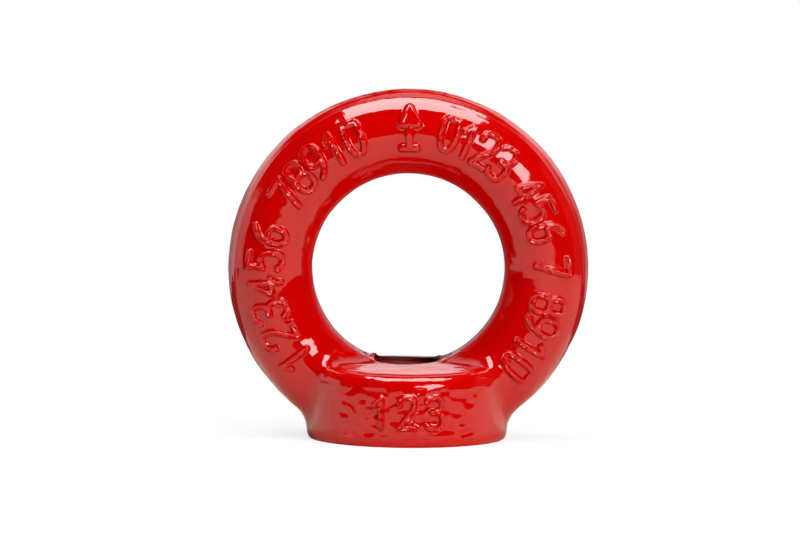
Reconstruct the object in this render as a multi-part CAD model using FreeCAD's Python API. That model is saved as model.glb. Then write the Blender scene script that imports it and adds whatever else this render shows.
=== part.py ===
"""Lifting eye nut with a metric M12 thread, drop forged in one piece.

A round bar closed into a ring stands on a short round boss. The boss is faced flat underneath,
where it seats, and a tapped hole runs up through it into the eye. The dies part on the ring's own
plane, y = 0, so the boss's top face falls away on both sides of that plane at the forging draft.

Millimetres. The origin is the centre of the hole at the seat, +Z runs up the hole into the eye,
and the ring's own axis is Y.
"""

import FreeCAD
import Part

import math
import os

Vector = FreeCAD.Vector

# Ring
eye_d = 29.0
bar_d = 12.5
# Width of the flat land that punching out the eye leaves round its inside
land_w = 5.4
# How far below the seat the ring's outer circle would reach, were it not faced off
ring_below_seat = 1.4

# Boss
boss_d = 30.2
# How far the boss's top face stands up into the eye circle, where the dies part
face_into_eye = 0.9
forging_draft_deg = 5.2
face_crown_r = 12.0
shoulder_r = 2.2

# Low ridge across that face, left by the flash that is trimmed off where the dies part
ridge_h = 0.5
ridge_slope_deg = 25.0
ridge_crown_r = 1.0

# The boss's lower corner is forged round, and facing the seat takes most of the round away
lower_corner_r = 2.0
seat_edge_inset = 0.3

# Blend between the ring and the boss
blend_r = 4.5

# Tapped hole, bored here to the thread's minor diameter and countersunk at the seat
thread_minor_d = 10.106
countersink_d = 13.0
countersink_angle_deg = 90.0

# Worked out from the sizes above
bar_r = bar_d / 2
ring_outer_r = eye_d / 2 + bar_d
ring_centreline_r = eye_d / 2 + bar_r
ring_centre_z = ring_outer_r - ring_below_seat
boss_r = boss_d / 2
face_z = ring_centre_z - eye_d / 2 + face_into_eye
bore_r = thread_minor_d / 2
# Reaches past the whole nut from any point of it
reach = 2 * (ring_outer_r + boss_d)
# Nearer than this counts as touching
touching = 0.01


def face_through(points, arc_middles):
    """A flat face through the points, where arc_middles[i] bows the side that leaves point i."""
    sides = []
    for i, start in enumerate(points):
        end = points[(i + 1) % len(points)]
        if i in arc_middles:
            sides.append(Part.Arc(start, arc_middles[i], end).toShape())
        else:
            sides.append(Part.LineSegment(start, end).toShape())
    return Part.Face(Part.Wire(sides))


def make_ring():
    """The bar's section, turned about the ring's axis from the bottom inside the boss.

    The bar is round but for the land, which runs into the round along a tangent on each side.
    """
    bar_z = ring_centre_z - ring_centreline_r
    land_z = bar_z + bar_r
    # Seen from the bar's centre, how far the points of touch are turned from the land's middle
    touch_angle = 2 * math.atan(land_w / 2 / bar_r)
    touch_y = bar_r * math.sin(touch_angle)
    touch_z = bar_z + bar_r * math.cos(touch_angle)
    points = [
        Vector(0, -touch_y, touch_z),
        Vector(0, touch_y, touch_z),
        Vector(0, land_w / 2, land_z),
        Vector(0, -land_w / 2, land_z),
    ]
    face = face_through(points, {0: Vector(0, 0, bar_z - bar_r)})
    return face.revolve(Vector(0, 0, ring_centre_z), Vector(0, 1, 0), 360)


def make_boss_blank():
    """The boss's round wall and lower corner, turned about the hole and left tall."""
    corner_x = boss_r - lower_corner_r
    corner_z = math.sqrt(lower_corner_r**2 - (lower_corner_r - seat_edge_inset) ** 2)
    # The arc that facing leaves runs from the wall down to the seat, seen from its own centre
    half_span = math.asin(corner_z / lower_corner_r) / 2
    corner_middle = Vector(
        corner_x + lower_corner_r * math.cos(half_span),
        0,
        corner_z - lower_corner_r * math.sin(half_span),
    )
    points = [
        Vector(0, 0, 0),
        Vector(boss_r - seat_edge_inset, 0, 0),
        Vector(boss_r, 0, corner_z),
        Vector(boss_r, 0, reach),
        Vector(0, 0, reach),
    ]
    half_section = face_through(points, {1: corner_middle})
    return half_section.revolve(Vector(0, 0, 0), Vector(0, 0, 1), 360)


def make_gable(half_length, top_z, slope_deg, crown_r, half_width, foot_z):
    """A bar along x whose top falls to both sides of y = 0 at a slope, from a rounded crown."""
    slope = math.radians(slope_deg)
    crown_y = crown_r * math.sin(slope)
    crown_z = top_z - crown_r * (1 - math.cos(slope))
    eaves_z = crown_z - (half_width - crown_y) * math.tan(slope)
    points = [
        Vector(-half_length, -half_width, foot_z),
        Vector(-half_length, -half_width, eaves_z),
        Vector(-half_length, -crown_y, crown_z),
        Vector(-half_length, crown_y, crown_z),
        Vector(-half_length, half_width, eaves_z),
        Vector(-half_length, half_width, foot_z),
    ]
    end_face = face_through(points, {2: Vector(-half_length, 0, top_z)})
    return end_face.extrude(Vector(2 * half_length, 0, 0))


def make_ridge():
    """The low ridge, which ends inside the ring's two legs and stands with its foot in the boss."""
    leg_x = math.sqrt(ring_centreline_r**2 - (ring_centre_z - face_z) ** 2)
    half_width = bar_r / 2
    return make_gable(leg_x, face_z + ridge_h, ridge_slope_deg, ridge_crown_r, half_width, face_z / 2)


def is_rim(edge):
    """True for an edge of the boss that runs round its wall, above half height."""
    on_wall = all(abs(math.hypot(p.x, p.y) - boss_r) < touching for p in edge.discretize(5))
    return on_wall and edge.BoundBox.ZMin > face_z / 2


def make_boss():
    """The boss, with its drafted top rounded over into the wall."""
    die_shape = make_gable(reach, face_z, forging_draft_deg, face_crown_r, reach, -reach)
    boss = make_boss_blank().common(die_shape)
    rim = [edge for edge in boss.Edges if is_rim(edge)]
    return boss.makeFillet(shoulder_r, rim)


def is_ring_face(face):
    """True for a face that was turned about the ring's own axis."""
    surface = face.Surface
    if isinstance(surface, Part.Toroid):
        return abs(surface.MajorRadius - ring_centreline_r) < touching
    return isinstance(surface, (Part.Cylinder, Part.Cone)) and abs(surface.Axis.y) > 1 - touching


def blend_ring_into_boss(body):
    """Rounds the two closed corners in which the ring's sides stand on the boss."""
    corners = []
    for edge in body.Edges:
        faces = body.ancestorsOfType(edge, Part.Face)
        ring_faces = [face for face in faces if is_ring_face(face)]
        if len(faces) == 2 and len(ring_faces) == 1:
            corners.append(edge)
    # At its lowest, on the wall at y = 0, the blend may run down to the seat's edge and no further
    foot_z = ring_centre_z - math.sqrt(ring_outer_r**2 - boss_r**2)
    open_angle = math.pi / 2 + math.asin(boss_r / ring_outer_r)
    largest_r = (foot_z - seat_edge_inset) * math.tan(open_angle / 2)
    return body.makeFillet(min(blend_r, largest_r), corners)


def make_hole():
    """The bore and its countersink at the seat, as a cutter that stops inside the open eye."""
    bore = Part.makeCylinder(bore_r, ring_centre_z)
    sink_depth = (countersink_d / 2 - bore_r) / math.tan(math.radians(countersink_angle_deg / 2))
    countersink = Part.makeCone(countersink_d / 2, bore_r, sink_depth)
    return bore.fuse(countersink)


def make_eye_nut():
    """The forging: ring and boss fused, faced off at the seat, blended and bored."""
    below_seat = Part.makeBox(2 * reach, 2 * reach, reach, Vector(-reach, -reach, -reach))
    body = make_ring().fuse(make_boss()).cut(below_seat).removeSplitter()
    body = blend_ring_into_boss(body.Solids[0]).fuse(make_ridge()).removeSplitter()
    return body.cut(make_hole()).Solids[0]


def main():
    os.makedirs("parts", exist_ok=True)
    eye_nut = make_eye_nut()
    eye_nut.exportStep("parts/eye_nut.step")
    print("eye_nut:", len(eye_nut.Faces), "faces,", round(eye_nut.Volume), "mm3, valid", eye_nut.isValid())


main()
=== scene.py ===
# %% [markdown]
# # A lifting eye nut in red enamel
# The object is one drop forging: a round bar closed into a ring, standing on a short round boss
# that is tapped right through. After forging it is sprayed with gloss enamel.
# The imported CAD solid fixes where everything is. This script gives that solid the skin of a real
# forging: figures raised by the die, a trimmed parting line, uneven enamel and a true thread.

# %% Load the fixed frame
import math

import bmesh
import bpy
from mathutils import Matrix, Vector, kdtree, noise


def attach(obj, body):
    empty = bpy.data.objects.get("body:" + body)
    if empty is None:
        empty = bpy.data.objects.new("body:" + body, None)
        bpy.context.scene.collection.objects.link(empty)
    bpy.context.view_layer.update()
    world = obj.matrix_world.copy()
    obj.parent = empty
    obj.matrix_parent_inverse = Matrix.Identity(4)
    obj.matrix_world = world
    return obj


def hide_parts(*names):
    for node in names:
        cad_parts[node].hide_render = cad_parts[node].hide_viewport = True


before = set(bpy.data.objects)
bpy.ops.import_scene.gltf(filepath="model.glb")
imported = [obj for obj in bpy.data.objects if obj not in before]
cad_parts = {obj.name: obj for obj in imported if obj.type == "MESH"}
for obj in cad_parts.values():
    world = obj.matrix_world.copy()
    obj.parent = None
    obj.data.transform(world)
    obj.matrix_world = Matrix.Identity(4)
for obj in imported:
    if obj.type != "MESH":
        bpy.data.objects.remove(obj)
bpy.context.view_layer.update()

# %% [markdown]
# ## Sizes
# All sizes are millimetres, as on a drawing, and MM turns them to Blender's metres where a mesh is
# made. They are the sizes of the CAD solid, so the new skin lies exactly on it.

# %% Sizes of the forging
MM = 0.001
EYE_R = 14.5
BAR_R = 6.25
RING_R = EYE_R + BAR_R
RING_OUTER_R = EYE_R + 2 * BAR_R
RING_Z = 25.6
BOSS_R = 15.1
CORNER_R = 2.0
SEAT_INSET = 0.3
LAND_HALF = 2.7
FACE_Z = 12.0
DRAFT = math.radians(5.2)
FACE_CROWN_R = 12.0
RIDGE_TOP_Z = 12.5
RIDGE_SLOPE = math.radians(25.0)
RIDGE_CROWN_R = 1.0
BORE_R = 5.053
SINK_R = 6.5
# Points nearer than this are made one, in metres
WELD = 1e-7
print("ring", 2 * RING_OUTER_R, "mm across, eye", 2 * EYE_R, "mm")

# %% [markdown]
# ## Camera
# The photograph looks along +Y at the flat of the ring, from six degrees above, through a long
# lens. The lens is worked out from the width that the picture covers at the object. The camera
# stands a little to the left, because the ring is a little to the right of the picture's centre,
# and it is rolled by half a degree, because the boss's foot is not quite level there.

# %% Camera
VIEW_ELEVATION = math.radians(6.0)
CAMERA_DISTANCE = 2500.0
PICTURE_WIDTH = 120.5
SENSOR = 36.0
RING_RIGHT_OF_CENTRE = 1.25
RING_BELOW_CENTRE = 0.2
CAMERA_ROLL = math.radians(0.5)

camera_data = bpy.data.cameras.new("camera")
camera_data.sensor_width = SENSOR
camera_data.lens = SENSOR * CAMERA_DISTANCE / PICTURE_WIDTH
camera = bpy.data.objects.new("camera", camera_data)
bpy.context.scene.collection.objects.link(camera)
bpy.context.scene.camera = camera
back = Vector((0, -math.cos(VIEW_ELEVATION), math.sin(VIEW_ELEVATION)))
up = Vector((0, math.sin(VIEW_ELEVATION), math.cos(VIEW_ELEVATION)))
aim = Vector((-RING_RIGHT_OF_CENTRE, 0, RING_Z)) + RING_BELOW_CENTRE * up
camera.location = (aim + CAMERA_DISTANCE * back) * MM
pitch = Matrix.Rotation(math.pi / 2 - VIEW_ELEVATION, 3, "X")
roll = Matrix.Rotation(CAMERA_ROLL, 3, "Z")
camera.rotation_euler = (pitch @ roll).to_euler()
bpy.context.scene.view_settings.view_transform = "Standard"
print("lens", round(camera_data.lens), "mm")

# %% [markdown]
# ## Small helpers
# A bmesh is turned into an object at the origin, so its place stays in its mesh. A modifier such as
# Remesh or Boolean is only a step on the way here, so its result is taken as the new mesh. A smooth
# step makes every soft edge below: it starts flat, climbs and ends flat.

# %% Mesh helpers
def to_object(name, bm):
    mesh = bpy.data.meshes.new(name)
    bm.to_mesh(mesh)
    bm.free()
    piece = bpy.data.objects.new(name, mesh)
    bpy.context.scene.collection.objects.link(piece)
    return piece


def take_modifiers(piece):
    """Replaces the mesh by what its modifiers make of it."""
    depsgraph = bpy.context.evaluated_depsgraph_get()
    result = bpy.data.meshes.new_from_object(piece.evaluated_get(depsgraph))
    old = piece.data
    piece.modifiers.clear()
    piece.data = result
    bpy.data.meshes.remove(old)


def smooth(bm, verts, rounds):
    """Moves each vertex half of the way to the middle of its neighbours, again and again."""
    for _ in range(rounds):
        bmesh.ops.smooth_vert(bm, verts=verts, factor=0.5, use_axis_x=True, use_axis_y=True, use_axis_z=True)


def smoothstep(low, high, value):
    """0 up to low, 1 from high on, and a soft climb between them."""
    t = min(max((value - low) / (high - low), 0.0), 1.0)
    return t * t * (3 - 2 * t)


# %% [markdown]
# ## The raw forging
# A forging has no sharp seams: the steel flows from ring to boss in one skin. So the simple bodies
# are laid over each other and a voxel remesh melts them into one closed mesh of even small faces.
# The CAD solid gives the blend between ring and boss. A finely spun ring and boss lie over it,
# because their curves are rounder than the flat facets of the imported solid.

# %% Bodies that are melted together
RING_SIDES = 144
RING_STEPS = 480
BOSS_STEPS = 360
CORNER_STEPS = 16
# The spun boss ends under the shoulder, which the CAD solid gives
WALL_TOP_Z = 8.4
ROOF_STEPS = 60
# The filler reaches this far past the bore, and down to this height above the seat
FILLER_MARGIN = 0.3
FILLER_FOOT_Z = 0.5
CAD_WELD = 1e-6


def spun_ring():
    """The bar's section turned about the ring's own axis: round, but for the land inside the eye."""
    bm = bmesh.new()
    made = bmesh.ops.create_circle(bm, segments=RING_SIDES, radius=BAR_R * MM)
    touch = 2 * math.atan(LAND_HALF / BAR_R)
    for v in made["verts"]:
        turn = abs(math.atan2(v.co.y, v.co.x))
        if turn < touch:
            v.co /= math.cos(min(turn, touch - turn))
    centre = Vector((0, 0, (RING_Z + RING_R) * MM))
    upright = Matrix.Translation(centre) @ Matrix.Rotation(math.pi / 2, 4, "Y")
    bmesh.ops.transform(bm, matrix=upright, verts=made["verts"])
    bmesh.ops.spin(
        bm,
        geom=bm.edges[:],
        cent=(0, 0, RING_Z * MM),
        axis=(0, 1, 0),
        angle=math.tau,
        steps=RING_STEPS,
        use_merge=True,
    )
    bmesh.ops.remove_doubles(bm, verts=bm.verts, dist=WELD)
    bmesh.ops.recalc_face_normals(bm, faces=bm.faces)
    return to_object("spun_ring", bm)


def spun_boss():
    """The boss's wall and its lower corner before the seat is faced off, turned about the hole."""
    corner_x = BOSS_R - CORNER_R
    corner_z = math.sqrt(CORNER_R**2 - (CORNER_R - SEAT_INSET) ** 2)
    profile = [(0, WALL_TOP_Z), (BOSS_R, WALL_TOP_Z)]
    for i in range(CORNER_STEPS + 1):
        turn = math.pi / 2 * i / CORNER_STEPS
        profile.append((corner_x + CORNER_R * math.cos(turn), corner_z - CORNER_R * math.sin(turn)))
    profile.append((0, corner_z - CORNER_R))
    bm = bmesh.new()
    points = [bm.verts.new((x * MM, 0, z * MM)) for x, z in profile]
    for start, end in zip(points, points[1:]):
        bm.edges.new((start, end))
    bmesh.ops.spin(
        bm,
        geom=bm.verts[:] + bm.edges[:],
        cent=(0, 0, 0),
        axis=(0, 0, 1),
        angle=math.tau,
        steps=BOSS_STEPS,
        use_merge=True,
    )
    bmesh.ops.remove_doubles(bm, verts=bm.verts, dist=WELD)
    bmesh.ops.recalc_face_normals(bm, faces=bm.faces)
    return to_object("spun_boss", bm)


def gable(y, top_z, slope, crown_r):
    """Height of a rounded crest with straight slopes, at a distance y from the parting plane."""
    crown_y = crown_r * math.sin(slope)
    if abs(y) < crown_y:
        return top_z - crown_r + math.sqrt(crown_r**2 - y * y)
    return top_z - crown_r * (1 - math.cos(slope)) - (abs(y) - crown_y) * math.tan(slope)


def roof_height(y):
    """The boss's top face: drafted to both sides, with the low parting ridge on it."""
    face = gable(y, FACE_Z, DRAFT, FACE_CROWN_R)
    ridge = gable(y, RIDGE_TOP_Z, RIDGE_SLOPE, RIDGE_CROWN_R)
    return max(face, ridge)


def hole_filler():
    """Fills the CAD's bore up to the roof, so that the thread can be cut from full metal later."""
    half = BORE_R + FILLER_MARGIN
    bm = bmesh.new()
    outline = []
    for i in range(ROOF_STEPS + 1):
        outline.append(bm.verts.new((-half * MM, (2 * i / ROOF_STEPS - 1) * half * MM, 0)))
    for point in outline:
        point.co.z = roof_height(point.co.y / MM) * MM
    outline.append(bm.verts.new((-half * MM, half * MM, FILLER_FOOT_Z * MM)))
    outline.append(bm.verts.new((-half * MM, -half * MM, FILLER_FOOT_Z * MM)))
    end = bm.faces.new(outline)
    pushed = bmesh.ops.extrude_face_region(bm, geom=[end], use_keep_orig=True)
    moved = [item for item in pushed["geom"] if isinstance(item, bmesh.types.BMVert)]
    bmesh.ops.translate(bm, vec=(2 * half * MM, 0, 0), verts=moved)
    bmesh.ops.recalc_face_normals(bm, faces=bm.faces)
    return to_object("hole_filler", bm)


def cad_copy():
    """The CAD solid with its loose triangles merged."""
    bm = bmesh.new()
    bm.from_mesh(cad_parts["eye_nut"].data)
    bmesh.ops.remove_doubles(bm, verts=bm.verts, dist=CAD_WELD)
    return to_object("cad_copy", bm)


bodies = [cad_copy(), spun_ring(), spun_boss(), hole_filler()]
forging_bm = bmesh.new()
for body in bodies:
    forging_bm.from_mesh(body.data)
    bpy.data.objects.remove(body)
forging = to_object("forging", forging_bm)
print("laid over each other:", len(forging.data.polygons), "faces")

# %% [markdown]
# ### One skin
# The voxel size is a compromise: small enough for the blends, large enough to leave triangles for
# the figures later. A few rounds of smoothing take away the voxel steps and soften the inner
# corners a little, as the enamel that gathers in them does.

# %% Melt into one skin
VOXEL = 0.38
SMOOTHING_ROUNDS = 6

melt = forging.modifiers.new("melt", "REMESH")
melt.mode = "VOXEL"
melt.voxel_size = VOXEL * MM
take_modifiers(forging)

skin = bmesh.new()
skin.from_mesh(forging.data)
smooth(skin, skin.verts, SMOOTHING_ROUNDS)
print("one skin:", len(skin.faces), "faces")

# %% [markdown]
# ## Figures raised by the die
# The die-sinker cuts figures into the die with punches, so they stand proud on the forging as
# rounded strokes about a millimetre wide. Each numeral here is a few strokes in a box one unit
# high. A stroke that is drawn as a curve has its corners cut again and again until it is round.

# %% Strokes of the numerals
STRAIGHT = 0
CURVED = 1
LOOP_TOP = [(0.25, 0.54), (0.03, 0.56), (0.03, 1.0), (0.47, 1.0), (0.47, 0.56), (0.25, 0.54)]
LOOP_FOOT = [(0.25, 0.54), (-0.02, 0.52), (-0.02, 0.0), (0.52, 0.0), (0.52, 0.52), (0.25, 0.54)]
LOOP_OF_SIX = [(0.42, 1.0), (0.1, 0.8), (-0.02, 0.0), (0.5, -0.04), (0.54, 0.56), (0.06, 0.58), (0.02, 0.36)]
LOOP_OF_NINE = [(0.08, 0.0), (0.4, 0.2), (0.52, 1.0), (0.0, 1.04), (-0.04, 0.44), (0.44, 0.42), (0.48, 0.64)]
NUMERALS = {
    "0": [(CURVED, [(0.25, 1.0), (0.0, 1.0), (0.0, 0.0), (0.5, 0.0), (0.5, 1.0), (0.25, 1.0)])],
    "1": [(STRAIGHT, [(0.06, 0.76), (0.28, 1.0), (0.28, 0.0)])],
    "2": [
        (CURVED, [(0.0, 0.78), (0.02, 1.02), (0.5, 1.06), (0.5, 0.64), (0.3, 0.4), (0.0, 0.0)]),
        (STRAIGHT, [(0.0, 0.0), (0.5, 0.0)]),
    ],
    "3": [
        (CURVED, [(0.0, 0.9), (0.12, 1.02), (0.5, 1.04), (0.5, 0.56), (0.2, 0.54)]),
        (CURVED, [(0.2, 0.54), (0.54, 0.52), (0.54, -0.03), (0.1, -0.03), (0.0, 0.12)]),
    ],
    "4": [(STRAIGHT, [(0.36, 0.0), (0.36, 1.0), (0.0, 0.32), (0.5, 0.32)])],
    "5": [
        (STRAIGHT, [(0.46, 1.0), (0.06, 1.0), (0.03, 0.56)]),
        (CURVED, [(0.03, 0.56), (0.2, 0.66), (0.52, 0.62), (0.54, -0.02), (0.1, -0.03), (0.0, 0.1)]),
    ],
    "6": [(CURVED, LOOP_OF_SIX)],
    "7": [(STRAIGHT, [(0.0, 1.0), (0.5, 1.0), (0.16, 0.0)])],
    "8": [(CURVED, LOOP_TOP), (CURVED, LOOP_FOOT)],
    "9": [(CURVED, LOOP_OF_NINE)],
}
FIGURE_WIDTH = 0.5


def rounded(points, rounds=4):
    """Cuts every corner of a line again and again, which leaves a smooth curve."""
    for _ in range(rounds):
        trimmed = [points[0]]
        for (x0, y0), (x1, y1) in zip(points, points[1:]):
            trimmed.append((0.75 * x0 + 0.25 * x1, 0.75 * y0 + 0.25 * y1))
            trimmed.append((0.25 * x0 + 0.75 * x1, 0.25 * y0 + 0.75 * y1))
        trimmed.append(points[-1])
        points = trimmed
    return points


def numeral_strokes(numeral):
    """A numeral's strokes as lines of points, in a box one unit high."""
    return [rounded(points) if kind == CURVED else points for kind, points in NUMERALS[numeral]]


print(len(NUMERALS), "numerals")

# %% [markdown]
# ### Where the figures stand
# On the ring they run round with their heads outwards, in groups, read clockwise from the lower
# left. A group is its figures and the two ring angles, from the top, between which it is spread.
# A load arrow points up at the top of the ring. Three more figures stand on the boss's wall.

# %% Place the strokes on the forging
FIGURES_FOOT_R = 19.2
FIGURES_HEIGHT = 4.8
RING_GROUPS = [
    ("123456", -128.0, -75.5),
    ("78910", -58.0, -22.5),
    ("0123", 16.0, 40.0),
    ("456", 55.0, 73.0),
    ("78", 88.0, 103.0),
    ("910", 112.0, 131.0),
]
BOSS_FIGURES = "123"
BOSS_FIGURES_FOOT_Z = 3.0
BOSS_FIGURES_HEIGHT = 4.4
BOSS_FIGURES_PITCH = 4.0
ARROW_TIP_R = 24.75
ARROW_HEAD_R = 22.3
ARROW_HALF_WIDTH = 1.25
ARROW_STEM_FOOT_R = 18.8
ARROW_BAR_HALF = 1.1
# Lines from the tip to these shares of the head's half width fill the head
ARROW_HEAD_FILL = (-0.67, -0.33, 0.33, 0.67)
STEP_ALONG = 0.1


def on_ring(rho, angle):
    """The point of the ring's front face at a radius and at an angle from the top, clockwise."""
    y = -math.sqrt(BAR_R**2 - (rho - RING_R) ** 2)
    return Vector((rho * math.sin(angle), y, RING_Z + rho * math.cos(angle)))


def on_boss(x, z):
    """The point of the boss's wall in front of x and z."""
    return Vector((x, -math.sqrt(BOSS_R**2 - x * x), z))


def along(points):
    """Points every STEP_ALONG of the line through the given ones."""
    for (x0, y0), (x1, y1) in zip(points, points[1:]):
        count = max(1, math.ceil(math.hypot(x1 - x0, y1 - y0) / STEP_ALONG))
        for i in range(count + 1):
            yield x0 + (x1 - x0) * i / count, y0 + (y1 - y0) * i / count


def figure_line(numeral, height):
    """Points along a numeral's strokes, from the middle of its foot."""
    for stroke in numeral_strokes(numeral):
        yield from along([((x - FIGURE_WIDTH / 2) * height, y * height) for x, y in stroke])


figure_points = []
middle_r = FIGURES_FOOT_R + FIGURES_HEIGHT / 2
for figures, first_angle, last_angle in RING_GROUPS:
    for i, numeral in enumerate(figures):
        centre = math.radians(first_angle + (last_angle - first_angle) * i / (len(figures) - 1))
        for x, y in figure_line(numeral, FIGURES_HEIGHT):
            figure_points.append(on_ring(FIGURES_FOOT_R + y, centre + x / middle_r))

for i, numeral in enumerate(BOSS_FIGURES):
    centre = (i - (len(BOSS_FIGURES) - 1) / 2) * BOSS_FIGURES_PITCH
    for x, y in figure_line(numeral, BOSS_FIGURES_HEIGHT):
        figure_points.append(on_boss(centre + x, BOSS_FIGURES_FOOT_Z + y))

# On the ring's front an arrow line's points are a distance sideways and a radius
tip = (0, ARROW_TIP_R)
left_corner = (-ARROW_HALF_WIDTH, ARROW_HEAD_R)
right_corner = (ARROW_HALF_WIDTH, ARROW_HEAD_R)
rim_lines = [[left_corner, tip, right_corner, left_corner]]
arrow_lines = [
    [(0, ARROW_STEM_FOOT_R), tip],
    [(-ARROW_BAR_HALF, ARROW_STEM_FOOT_R), (ARROW_BAR_HALF, ARROW_STEM_FOOT_R)],
]
for share in ARROW_HEAD_FILL:
    arrow_lines.append([tip, (share * ARROW_HALF_WIDTH, ARROW_HEAD_R)])
arrow_points = [on_ring(y, x / y) for line in arrow_lines + rim_lines for x, y in along(line)]
rim_points = [on_ring(y, x / y) for line in rim_lines for x, y in along(line)]
print(len(figure_points), "points on figures,", len(arrow_points), "on the arrow")

# %% [markdown]
# ### Raise them from the skin
# Where a figure stands, each edge of the skin is cut into three, and each vertex near a stroke is
# pushed out by its distance from it. A smooth step makes a rounded edge and foot, like steel
# pressed into a punched groove and then covered with enamel. Enamel draws back from the middle of a
# flat crest to its edges, so the crest is slightly dished, and the arrow's head has a raised rim.
# The die is worn, so noise makes some stretches of the strokes lower than others.

# %% Raise the figures
FIGURE_RISE = 0.55
FIGURE_CREST = 0.24
FIGURE_FOOT = 0.6
FIGURE_DISH = 0.09
FIGURE_WORN = 0.45
FIGURE_WORN_LENGTH = 0.8
ARROW_RISE = 0.6
ARROW_CREST = 0.22
ARROW_FOOT = 0.85
ARROW_RIM = 0.08
ARROW_RIM_HALF = 0.3
SPLIT_MARGIN = 0.25
SPLITS = 2
FINE_SMOOTHING_ROUNDS = 3


def finder(points):
    """A tree that quickly gives the distance from any place to the nearest of the points."""
    tree = kdtree.KDTree(len(points))
    for i, point in enumerate(points):
        tree.insert(point * MM, i)
    tree.balance()
    return tree


figure_finder = finder(figure_points)
arrow_finder = finder(arrow_points)
rim_finder = finder(rim_points)


def rise_at(place):
    """How far the figures and the arrow lift the skin at a place."""
    figure_off = figure_finder.find(place)[2] / MM
    arrow_off = arrow_finder.find(place)[2] / MM
    rim_off = rim_finder.find(place)[2] / MM
    figure = FIGURE_RISE * (1 - smoothstep(FIGURE_CREST, FIGURE_FOOT, figure_off))
    figure -= FIGURE_DISH * (1 - smoothstep(0, FIGURE_CREST, figure_off))
    figure *= 1 + FIGURE_WORN * noise.noise(place / (FIGURE_WORN_LENGTH * MM))
    arrow = ARROW_RISE * (1 - smoothstep(ARROW_CREST, ARROW_FOOT, arrow_off))
    arrow += ARROW_RIM * (1 - smoothstep(0, ARROW_RIM_HALF, rim_off))
    return max(figure, arrow)


def near_a_mark(place):
    """True where the skin needs finer faces for a figure or the arrow."""
    near_figure = figure_finder.find(place)[2] < (FIGURE_FOOT + SPLIT_MARGIN) * MM
    return near_figure or arrow_finder.find(place)[2] < (ARROW_FOOT + SPLIT_MARGIN) * MM


marked_faces = [face for face in skin.faces if near_a_mark(face.calc_center_median())]
# A dictionary keeps each edge once, and in the same order on every run
split_edges = dict.fromkeys(edge for face in marked_faces for edge in face.edges)
bmesh.ops.subdivide_edges(skin, edges=list(split_edges), cuts=SPLITS, use_grid_fill=True)
fine = [v for v in skin.verts if near_a_mark(v.co)]
smooth(skin, fine, FINE_SMOOTHING_ROUNDS)
skin.normal_update()
lifted = [(v, v.normal * rise_at(v.co) * MM) for v in fine]
for v, lift in lifted:
    v.co += lift
print("after splitting:", len(skin.faces), "faces,", len(fine), "fine vertices")

# %% [markdown]
# ## Uneven steel
# Scale, die wear and thick enamel leave a forging slightly wavy. Fractal noise moves each vertex
# along its normal by some hundredths of a millimetre. The front and back of the boss's wall are
# rougher, with flat lumps two millimetres wide, and the roof has long shallow streaks. The flash
# that was trimmed off leaves a low ridge on the parting plane, with the trimming tool's two fine
# edges beside it, and the tap pushes up a small burr at both ends of the hole's mouth.

# %% Waviness, lumps and the parting line
WAVE = 0.07
WAVE_LENGTH = 5.0
RIPPLE = 0.02
RIPPLE_LENGTH = 1.3
RIPPLE_AT_FOOT = 0.045
LUMP = 0.14
LUMP_WIDTH = 1.9
LUMP_HEIGHT = 0.9
STREAK = 0.035
STREAK_LENGTH = 9.0
STREAK_WIDTH = 1.2
BURR = 0.35
BURR_LENGTH = 0.7
PARTING_RISE = 0.12
TRIM_RISE = 0.09
TRIM_Y = 3.2
# Each pair is where a soft edge begins and ends, along the coordinate or distance that it names
ROOF_NORMAL_Z = (0.85, 0.97)
ROOF_END_Z = (RIDGE_TOP_Z, RIDGE_TOP_Z + 1.5)
CALM_FROM_Z = (FACE_Z + 2, FACE_Z + 8)
WALL_NORMAL_XY = (0.6, 0.95)
LUMP_END_Z = (8.5, 10.5)
LUMP_END_X = (9.0, 12.0)
BURR_FROM_X = (4.0, BORE_R)
BURR_END_R = (BORE_R, BORE_R + 0.8)
OUTER_RIM_R = (0.35 * BAR_R, 0.8 * BAR_R)
OUTER_RIM_Z = (FACE_Z + 1.5, FACE_Z + 5.5)
PARTING_END_Y = (0.2, 0.8)
TRIM_END = (0, 0.5)
# A place of its own in the noise for each effect, so that they don't rise and fall together
WAVE_SEED = 3.1
RIPPLE_SEED = 7.7
LUMP_SEED = 11.3
STREAK_SEED = 5.9
BURR_SEED = 2.2


def wobble(place, length, seed):
    """Noise from -1 to 1 whose bumps are about length millimetres apart."""
    return noise.noise(place / (length * MM) + Vector((seed, 0, 0)))


def fade(pair, value):
    """A soft edge from 1 down to 0."""
    return 1 - smoothstep(*pair, value)


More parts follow.
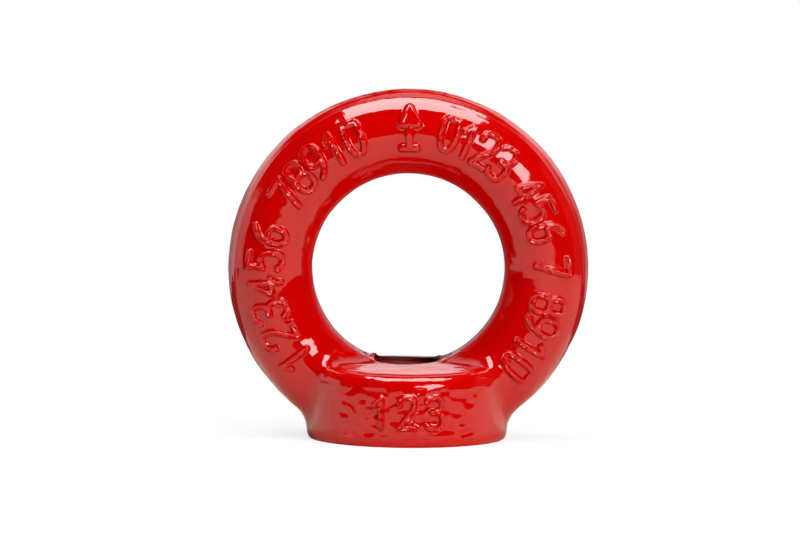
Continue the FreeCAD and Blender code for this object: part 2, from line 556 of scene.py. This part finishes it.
def unevenness(place, normal):
    """How far the real skin stands off the drawn one at a place, in millimetres."""
    x, y, z = place / MM
    on_roof = smoothstep(*ROOF_NORMAL_Z, normal.z) * fade(ROOF_END_Z, z)
    ripple = RIPPLE_AT_FOOT + (RIPPLE - RIPPLE_AT_FOOT) * max(on_roof, smoothstep(*CALM_FROM_Z, z))
    height = WAVE * wobble(place, WAVE_LENGTH, WAVE_SEED) + ripple * wobble(place, RIPPLE_LENGTH, RIPPLE_SEED)
    on_wall = smoothstep(*WALL_NORMAL_XY, math.hypot(normal.x, normal.y)) * fade(LUMP_END_Z, z)
    lump_place = Vector((x / LUMP_WIDTH, LUMP_SEED, z / LUMP_HEIGHT))
    height += LUMP * on_wall * fade(LUMP_END_X, abs(x)) * noise.noise(lump_place)
    streak_place = Vector((x / STREAK_LENGTH, y / STREAK_WIDTH, STREAK_SEED))
    height += STREAK * on_roof * noise.noise(streak_place)
    at_mouth = smoothstep(*BURR_FROM_X, abs(x)) * fade(BURR_END_R, math.hypot(x, y))
    height += BURR * on_roof * at_mouth * (1 + wobble(place, BURR_LENGTH, BURR_SEED))
    out_from_bar = math.hypot(x, z - RING_Z) - RING_R
    on_rim = smoothstep(*OUTER_RIM_R, out_from_bar) * smoothstep(*OUTER_RIM_Z, z)
    height += PARTING_RISE * on_rim * fade(PARTING_END_Y, abs(y))
    height += TRIM_RISE * on_rim * fade(TRIM_END, abs(abs(y) - TRIM_Y))
    return height


skin.normal_update()
uneven = [(v, v.normal * unevenness(v.co, v.normal) * MM) for v in skin.verts]
for v, shift in uneven:
    v.co += shift
print("skin moved by up to", round(max(shift.length for v, shift in uneven) / MM, 3), "mm")

# %% [markdown]
# ## Facing
# The seat is turned flat after forging. So the skin is cut off at z = 0, and the one open edge that
# this leaves is closed with a single flat face, which the hole is cut through later.

# %% Face the seat
plane_cut = bmesh.ops.bisect_plane(
    skin,
    geom=skin.verts[:] + skin.edges[:] + skin.faces[:],
    dist=WELD,
    plane_co=(0, 0, 0),
    plane_no=(0, 0, 1),
    clear_inner=True,
)
rim_edges = [item for item in plane_cut["geom_cut"] if isinstance(item, bmesh.types.BMEdge)]
bmesh.ops.edgeloop_fill(skin, edges=rim_edges)
bmesh.ops.triangulate(skin, faces=skin.faces)
bmesh.ops.recalc_face_normals(skin, faces=skin.faces)
skin.to_mesh(forging.data)
skin.free()
print("faced:", len(forging.data.polygons), "triangles")

# %% [markdown]
# ## Tapping
# A thread could be painted on as bump, but its teeth show against the light in the hole's mouth. So
# it is cut with a model of the tap: a core, a countersink that takes the sharp first turn away, and
# a helical ridge. The ridge is one section that is spun up the axis with a small climb per step.

# %% The tap
PITCH = 1.75
THREAD_MAJOR_R = 6.0
RIDGE_FOOT_HALF = 0.66
RIDGE_TIP_HALF = 0.11
# The ridge starts this deep inside the core, and the countersink ends this far inside the bore
RIDGE_SUNK = 0.4
SINK_PAST_BORE = 0.5
TURNS = 10
STEPS_PER_TURN = 48
TAP_SIDES = 96
CUT_BELOW = 1.5


def turned_cutter(name, foot_r, top_r, top_z):
    """A round or tapered cutter from CUT_BELOW under the seat up to top_z."""
    bm = bmesh.new()
    bmesh.ops.create_cone(
        bm,
        cap_ends=True,
        segments=TAP_SIDES,
        radius1=foot_r * MM,
        radius2=top_r * MM,
        depth=(top_z + CUT_BELOW) * MM,
        matrix=Matrix.Translation((0, 0, (top_z - CUT_BELOW) / 2 * MM)),
    )
    return to_object(name, bm)


def tap_ridge():
    """One turn after another of the thread's groove, as a solid ridge."""
    inner_r = BORE_R - RIDGE_SUNK
    flank_slope = (RIDGE_FOOT_HALF - RIDGE_TIP_HALF) / (THREAD_MAJOR_R - BORE_R)
    inner_half = RIDGE_FOOT_HALF + flank_slope * RIDGE_SUNK
    section = [
        (inner_r, -inner_half),
        (THREAD_MAJOR_R, -RIDGE_TIP_HALF),
        (THREAD_MAJOR_R, RIDGE_TIP_HALF),
        (inner_r, inner_half),
    ]
    bm = bmesh.new()
    start = bm.faces.new([bm.verts.new((x * MM, 0, (z - CUT_BELOW) * MM)) for x, z in section])
    bmesh.ops.spin(
        bm,
        geom=[start],
        cent=(0, 0, 0),
        axis=(0, 0, 1),
        dvec=(0, 0, PITCH / STEPS_PER_TURN * MM),
        angle=TURNS * math.tau,
        steps=TURNS * STEPS_PER_TURN,
    )
    bmesh.ops.recalc_face_normals(bm, faces=bm.faces)
    return to_object("tap_ridge", bm)


print("tap:", TURNS, "turns of", PITCH, "mm")


# %% Cut the hole and its thread
def cut(piece, cutter):
    """Takes the cutter's shape out of the piece, and the cutter out of the scene."""
    step = piece.modifiers.new("cut", "BOOLEAN")
    step.operation = "DIFFERENCE"
    step.solver = "MANIFOLD"
    step.object = cutter
    take_modifiers(piece)
    bpy.data.objects.remove(cutter)


tap_core = turned_cutter("tap_core", BORE_R, BORE_R, RIDGE_TOP_Z + CUT_BELOW)
sink_top_z = SINK_R - BORE_R + SINK_PAST_BORE
countersink = turned_cutter("countersink", SINK_R + CUT_BELOW, BORE_R - SINK_PAST_BORE, sink_top_z)
for cutter in (tap_core, countersink, tap_ridge()):
    before = len(forging.data.polygons)
    cut(forging, cutter)
    print("cut:", before, "->", len(forging.data.polygons), "faces")

# %% [markdown]
# ## Colours
# Colours are written as the sRGB hex values that a painter would read off a screen, and one
# function turns them to the linear values that the shader mixes.

# %% Colour and node helpers
def colour(hex_code):
    """An sRGB hex code as linear red, green, blue and alpha."""
    channels = [int(hex_code[i : i + 2], 16) / 255 for i in (1, 3, 5)]
    linear = [c / 12.92 if c <= 0.04045 else ((c + 0.055) / 1.055) ** 2.4 for c in channels]
    return (*linear, 1.0)


def add_node(tree, kind, inputs=None, **settings):
    """Adds a node; an input is a number, a colour or the output that is linked to it."""
    node = tree.nodes.new(kind)
    for name, value in settings.items():
        setattr(node, name, value)
    for name, value in (inputs or {}).items():
        if isinstance(value, bpy.types.NodeSocket):
            tree.links.new(value, node.inputs[name])
        else:
            node.inputs[name].default_value = value
    return node


def new_material(name):
    """An empty material and its node tree."""
    material = bpy.data.materials.new(name)
    material.use_nodes = True
    material.node_tree.nodes.clear()
    return material, material.node_tree


# %% [markdown]
# ## Red enamel
# A glossy one-coat enamel over steel: a saturated red under a hard clear skin with the usual index
# of 1.5. A noise shifts the red by a few steps, as a coat of uneven thickness does, and an orange
# peel of about a millimetre bends the reflections a little, because sprayed enamel never levels
# fully. The land inside the eye was sheared when the eye was punched, and enamel dries duller on it.
# So the roughness rises there, by the distance from the ring's axis and the height above the roof.

# %% Red enamel
GLOSS = 0.05
DULL = 0.4
ENAMEL_IOR = 1.5
LAND_DULL_R = 14.8
GLOSS_R = 15.4
ROOF_GLOSSY_TO_Z = 12.7
LAND_DULL_FROM_Z = 13.5
TONE_LENGTH = 6.0
PEEL_LENGTH = 1.0
PEEL_DEPTH = 0.01


def land_roughness(tree, place):
    """Roughness by place: DULL on the land, and GLOSS on the rest of the ring and on the boss."""
    from_axis = add_node(tree, "ShaderNodeVectorMath", {0: place, 1: (0, 0, -RING_Z * MM)}, operation="ADD")
    in_plane = add_node(
        tree, "ShaderNodeVectorMath", {0: from_axis.outputs[0], 1: (1, 0, 1)}, operation="MULTIPLY"
    )
    rho = add_node(tree, "ShaderNodeVectorMath", {0: in_plane.outputs[0]}, operation="LENGTH")
    limits = {"From Min": LAND_DULL_R * MM, "From Max": GLOSS_R * MM, "To Min": DULL, "To Max": GLOSS}
    on_ring = add_node(tree, "ShaderNodeMapRange", {"Value": rho.outputs["Value"], **limits})
    height = add_node(tree, "ShaderNodeSeparateXYZ", {0: place}).outputs["Z"]
    limits = {"From Min": ROOF_GLOSSY_TO_Z * MM, "From Max": LAND_DULL_FROM_Z * MM}
    above_roof = add_node(tree, "ShaderNodeMapRange", {"Value": height, **limits})
    mix = {"Factor": above_roof.outputs[0], "A": GLOSS, "B": on_ring.outputs[0]}
    return add_node(tree, "ShaderNodeMix", mix, data_type="FLOAT").outputs[0]


def red_enamel():
    material, tree = new_material("sprayed_red_enamel")
    place = add_node(tree, "ShaderNodeTexCoord").outputs["Object"]
    cloud = {"Vector": place, "Scale": 1 / (TONE_LENGTH * MM), "Detail": 3.0}
    shade = add_node(tree, "ShaderNodeTexNoise", cloud)
    mix = {"Factor": shade.outputs["Fac"], "A": colour("#BE0000"), "B": colour("#CC0200")}
    tone = add_node(tree, "ShaderNodeMix", mix, data_type="RGBA")
    grain = {"Vector": place, "Scale": 1 / (PEEL_LENGTH * MM), "Detail": 1.0}
    peel = add_node(tree, "ShaderNodeTexNoise", grain)
    swell = {"Height": peel.outputs["Fac"], "Distance": PEEL_DEPTH * MM, "Strength": 1.0}
    bump = add_node(tree, "ShaderNodeBump", swell)
    skin_of_paint = {
        "Base Color": tone.outputs["Result"],
        "Roughness": land_roughness(tree, place),
        "IOR": ENAMEL_IOR,
        "Normal": bump.outputs["Normal"],
    }
    shader = add_node(tree, "ShaderNodeBsdfPrincipled", skin_of_paint)
    add_node(tree, "ShaderNodeOutputMaterial", {"Surface": shader.outputs["BSDF"]})
    return material


# %% [markdown]
# ## Inside the hole
# The thread is tapped before painting and plugged, so only a thin mist of enamel drifts on to
# its upper turns. Their dark red is partly that thin coat and partly painted shade of the hole.
# Deeper down the cut steel is bare and oiled, which shows as a dull dark grey.

# %% Cut steel with overspray and painted shade
MIST_FROM_Z = 6.0
MIST_FULL_Z = 10.0
BARE_METALLIC = 0.9
CUT_ROUGHNESS = 0.5


def cut_steel():
    material, tree = new_material("tapped_steel_with_enamel_mist_and_painted_shade")
    place = add_node(tree, "ShaderNodeTexCoord").outputs["Object"]
    height = add_node(tree, "ShaderNodeSeparateXYZ", {0: place}).outputs["Z"]
    limits = {"From Min": MIST_FROM_Z * MM, "From Max": MIST_FULL_Z * MM}
    mist = add_node(tree, "ShaderNodeMapRange", {"Value": height, **limits}).outputs[0]
    bare = add_node(tree, "ShaderNodeMapRange", {"Value": mist, "To Min": BARE_METALLIC, "To Max": 0.0})
    # The dark red near the mouth is thin overspray and painted shade of the hole together
    mix = {"Factor": mist, "A": colour("#4A4541"), "B": colour("#6C0100")}
    tone = add_node(tree, "ShaderNodeMix", mix, data_type="RGBA")
    surface = {
        "Base Color": tone.outputs["Result"],
        "Roughness": CUT_ROUGHNESS,
        "Metallic": bare.outputs[0],
    }
    shader = add_node(tree, "ShaderNodeBsdfPrincipled", surface)
    add_node(tree, "ShaderNodeOutputMaterial", {"Surface": shader.outputs["BSDF"]})
    return material


# %% [markdown]
# ## Dress the forging
# The faces close to the hole's axis that look in at it get the cut steel, and all others the enamel.
# Shading is smooth over the forged curves and sharp where a tool has cut. The dressed skin then
# stands for the CAD node and rides on its body.

# %% Dress the forging
BARE_WITHIN_R = 6.7
LOOKS_INWARDS = -0.3
SHARP_FROM = math.radians(40)

forging.data.materials.clear()
forging.data.materials.append(red_enamel())
forging.data.materials.append(cut_steel())
for polygon in forging.data.polygons:
    polygon.use_smooth = True
    outwards = Vector((polygon.center.x, polygon.center.y, 0))
    looks_in = polygon.normal.dot(outwards.normalized()) < LOOKS_INWARDS
    if outwards.length < BARE_WITHIN_R * MM and looks_in:
        polygon.material_index = 1
forging.data.set_sharp_from_angle(angle=SHARP_FROM)
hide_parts("eye_nut")
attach(forging, "root")
print("faces of bare steel:", sum(polygon.material_index for polygon in forging.data.polygons))

# %% [markdown]
# ## Floor
# A sheet of white paper on a table. To the camera it is mostly a plain glow, so that it reads as
# white without more light on the object, and the rest of it keeps the nut's soft shadow. In the
# enamel's mirror image it glows as well, because it is the white paper that makes the low faces
# look dusty. That glow ends close to the nut, which shades the paper, and behind the nut.

# %% Floor
PAPER_GLOW = 0.78
MIRRORED_GLOW = 0.33
PAPER_BELOW_SEAT = 0.03
SHADE_FROM_Y = 26.0
SHADE_FULL_Y = 34.0
NUT_SHADE_R = 17.0
NUT_SHADE_END_R = 32.0
PAPER_LEFT = 320.0
PAPER_RIGHT = 260.0
PAPER_FRONT = 900.0
PAPER_BACK = 120.0


def white_paper():
    """Uncoated paper is matt, with no gloss of its own: a diffuse shader and the glow."""
    material, tree = new_material("matt_white_paper")
    path = add_node(tree, "ShaderNodeLightPath")
    seen = path.outputs["Is Camera Ray"]
    place = add_node(tree, "ShaderNodeTexCoord").outputs["Object"]
    y = add_node(tree, "ShaderNodeSeparateXYZ", {0: place}).outputs["Y"]
    limits = {"From Min": SHADE_FROM_Y * MM, "From Max": SHADE_FULL_Y * MM}
    shade = add_node(tree, "ShaderNodeMapRange", {"Value": y, **limits}).outputs[0]
    mix = {"Factor": shade, "A": colour("#ECE3CC"), "B": colour("#4A4640")}
    mirrored = add_node(tree, "ShaderNodeMix", mix, data_type="RGBA")
    mix = {"Factor": seen, "A": mirrored.outputs["Result"], "B": colour("#959595")}
    tone = add_node(tree, "ShaderNodeMix", mix, data_type="RGBA")
    matt = add_node(tree, "ShaderNodeBsdfDiffuse", {"Color": tone.outputs["Result"]})
    lit = add_node(tree, "ShaderNodeMapRange", {"Value": shade, "To Min": MIRRORED_GLOW, "To Max": 0.0})
    from_nut = add_node(tree, "ShaderNodeVectorMath", {0: place}, operation="LENGTH").outputs["Value"]
    limits = {"From Min": NUT_SHADE_R * MM, "From Max": NUT_SHADE_END_R * MM}
    open_paper = add_node(tree, "ShaderNodeMapRange", {"Value": from_nut, **limits})
    factors = {0: path.outputs["Is Glossy Ray"], 1: lit.outputs[0]}
    in_mirror = add_node(tree, "ShaderNodeMath", factors, operation="MULTIPLY")
    factors = {0: in_mirror.outputs[0], 1: open_paper.outputs[0]}
    mirrored_glow = add_node(tree, "ShaderNodeMath", factors, operation="MULTIPLY")
    terms = {0: seen, 1: PAPER_GLOW, 2: mirrored_glow.outputs[0]}
    strength = add_node(tree, "ShaderNodeMath", terms, operation="MULTIPLY_ADD")
    glow = add_node(tree, "ShaderNodeEmission", {"Strength": strength.outputs[0]})
    both = add_node(tree, "ShaderNodeAddShader", {0: matt.outputs[0], 1: glow.outputs[0]})
    add_node(tree, "ShaderNodeOutputMaterial", {"Surface": both.outputs[0]})
    return material


floor_bm = bmesh.new()
bmesh.ops.create_grid(floor_bm, x_segments=1, y_segments=1, size=1.0)
half_length = (PAPER_FRONT + PAPER_BACK) / 2
half_width = (PAPER_LEFT + PAPER_RIGHT) / 2
bmesh.ops.scale(floor_bm, vec=(half_width * MM, half_length * MM, 1), verts=floor_bm.verts)
middle = Vector((PAPER_RIGHT - half_width, PAPER_BACK - half_length, -PAPER_BELOW_SEAT))
bmesh.ops.translate(floor_bm, vec=middle * MM, verts=floor_bm.verts)
floor = to_object("floor", floor_bm)
floor.data.materials.append(white_paper())
print("paper:", 2 * half_width, "x", 2 * half_length, "mm")

# %% [markdown]
# ## World
# The camera sees a white room, and the paint is lit by a plain pale world. What the enamel mirrors
# is a dark studio with a few bright parts: a white backdrop behind, its foot on the left, the far
# end of the table, a paler strip high behind and a bright place on the right. Light Path tells the
# three apart, so that the paint shows its written colour and still has its highlights.
#
# Each mirrored part is a product of soft changes along coordinates of the direction. A change gives
# the coordinate, its value at the start and at the end, and the brightness at the start and the end.

# %% World
PLAIN_LEVEL = 0.22
MIRRORED_REST = 0.01
MIRRORED_PARTS = {
    "backdrop": [
        ("y", -0.12, -0.02, 0, 1),
        ("z", 0.1, 0.2, 0, 1),
        ("level", 0.53, 0.39, 0, 1),
        ("x", 0.75, 0.4, 0.1, 1.15),
    ],
    "backdrop_foot": [("y", -0.12, -0.02, 0, 1), ("z", 0.2, 0.1, 0, 1), ("x", -0.5, -0.75, 0.1, 1)],
    "far_table": [("y", 0.5, 0.8, 0, 1), ("z", 0.2, 0.1, 0, 1), ("side", 0.75, 0.5, 0, 0.3)],
    "strip": [
        ("z", 0.62, 0.74, 0, 1),
        ("z", 0.92, 0.84, 0, 1),
        ("side", 0.75, 0.1, 0, 1),
        ("y", 0.1, 0.3, 0, 1.1),
    ],
    "bright_side": [("away", 0.28, 0.1, 0, 1.5)],
}
# The backdrop's upper edge climbs to the right by this much of x
EDGE_CLIMB = 0.1
# The direction to the middle of the bright place on the right
BRIGHT_SIDE = (0.77, 0.44, 0.45)


def direction_coordinates(tree):
    """The coordinates that the mirrored parts are described by."""
    direction = add_node(tree, "ShaderNodeTexCoord").outputs["Generated"]
    x, y, z = add_node(tree, "ShaderNodeSeparateXYZ", {0: direction}).outputs
    level = add_node(tree, "ShaderNodeMath", {0: x, 1: -EDGE_CLIMB, 2: z}, operation="MULTIPLY_ADD")
    side = add_node(tree, "ShaderNodeMath", {0: x}, operation="ABSOLUTE")
    away = add_node(tree, "ShaderNodeVectorMath", {0: direction, 1: BRIGHT_SIDE}, operation="DISTANCE")
    return {
        "x": x,
        "y": y,
        "z": z,
        "level": level.outputs[0],
        "side": side.outputs[0],
        "away": away.outputs["Value"],
    }


def studio():
    world = bpy.data.worlds.new("studio")
    bpy.context.scene.world = world
    world.use_nodes = True
    tree = world.node_tree
    tree.nodes.clear()
    coordinates = direction_coordinates(tree)
    mirrored = MIRRORED_REST
    for changes in MIRRORED_PARTS.values():
        part = 1.0
        for coordinate, start, end, low, high in changes:
            limits = {"From Min": start, "From Max": end, "To Min": low, "To Max": high}
            inputs = {"Value": coordinates[coordinate], **limits}
            change = add_node(tree, "ShaderNodeMapRange", inputs, interpolation_type="SMOOTHSTEP")
            factors = {0: part, 1: change.outputs[0]}
            part = add_node(tree, "ShaderNodeMath", factors, operation="MULTIPLY").outputs[0]
        mirrored = add_node(tree, "ShaderNodeMath", {0: mirrored, 1: part}, operation="ADD").outputs[0]
    path = add_node(tree, "ShaderNodeLightPath")
    mix = {"Factor": path.outputs["Is Glossy Ray"], "A": PLAIN_LEVEL, "B": mirrored}
    soft = add_node(tree, "ShaderNodeMix", mix, data_type="FLOAT")
    mix = {"Factor": path.outputs["Is Camera Ray"], "A": soft.outputs[0], "B": 1.0}
    strength = add_node(tree, "ShaderNodeMix", mix, data_type="FLOAT")
    light = {"Color": colour("#FFFFFF"), "Strength": strength.outputs[0]}
    background = add_node(tree, "ShaderNodeBackground", light)
    add_node(tree, "ShaderNodeOutputWorld", {"Surface": background.outputs[0]})


studio()
print(len(MIRRORED_PARTS), "parts of the studio are mirrored")

# %% [markdown]
# ## Lamps
# A softbox hangs level over the nut, and a window stands to the front right, turned as its patch on
# the ring is. Each is made twice in the same place. One shows only in the enamel's mirror image, and
# the other lights only the paint, so that highlights and paint can be matched one at a time.

# %% Lamps
SOFTBOX_HEIGHT = 650.0
SOFTBOX_TURN = math.radians(-6.0)
# The softbox's place and its two sides, as shares of its height
SOFTBOX_PLACE = (0.04, -0.1, 1.0)
SOFTBOX_SIDES = (1.0, 0.48)
WINDOW_DISTANCE = 1000.0
WINDOW_AZIMUTH = math.radians(27.0)
WINDOW_ELEVATION = math.radians(22.5)
WINDOW_TURN = math.radians(38.0)
# The window's two sides, as shares of its distance
WINDOW_SIDES = (0.55, 0.3)
MIRRORED_LEVEL = 11.0
SOFTBOX_ON_PAINT = 7.7
WINDOW_ON_PAINT = 12.0


def panel(name, centre, facing, size, brightness, mirrored):
    """A soft panel, turned by the matrix facing. brightness is its radiance, where 1 shows as white."""
    data = bpy.data.lights.new(name, "AREA")
    data.shape = "RECTANGLE"
    data.size = size[0] * MM
    data.size_y = size[1] * MM
    data.energy = brightness * math.pi * data.size * data.size_y
    lamp = bpy.data.objects.new(name, data)
    bpy.context.scene.collection.objects.link(lamp)
    lamp.location = centre * MM
    lamp.rotation_euler = facing.to_euler()
    lamp.visible_glossy = mirrored
    lamp.visible_diffuse = not mirrored
    lamp.visible_camera = False


softbox_centre = Vector(SOFTBOX_PLACE) * SOFTBOX_HEIGHT
softbox_facing = Matrix.Rotation(SOFTBOX_TURN, 3, "Z")
softbox_size = [side * SOFTBOX_HEIGHT for side in SOFTBOX_SIDES]
panel("softbox_mirrored", softbox_centre, softbox_facing, softbox_size, MIRRORED_LEVEL, True)
panel("softbox_on_paint", softbox_centre, softbox_facing, softbox_size, SOFTBOX_ON_PAINT, False)

window_way = Vector(
    (
        math.sin(WINDOW_AZIMUTH) * math.cos(WINDOW_ELEVATION),
        -math.cos(WINDOW_AZIMUTH) * math.cos(WINDOW_ELEVATION),
        math.sin(WINDOW_ELEVATION),
    )
)
window_centre = window_way * WINDOW_DISTANCE + Vector((0, 0, RING_Z))
facing_nut = (-window_way).to_track_quat("-Z", "Y").to_matrix()
window_facing = facing_nut @ Matrix.Rotation(WINDOW_TURN, 3, "Z")
window_size = [side * WINDOW_DISTANCE for side in WINDOW_SIDES]
panel("window_mirrored", window_centre, window_facing, window_size, MIRRORED_LEVEL, True)
panel("window_on_paint", window_centre, window_facing, window_size, WINDOW_ON_PAINT, False)
print("softbox", [round(s) for s in softbox_size], "mm, window", [round(s) for s in window_size], "mm")

# %% Write the sizes and finish
print("forging:", sum(len(p.vertices) - 2 for p in forging.data.polygons), "triangles")
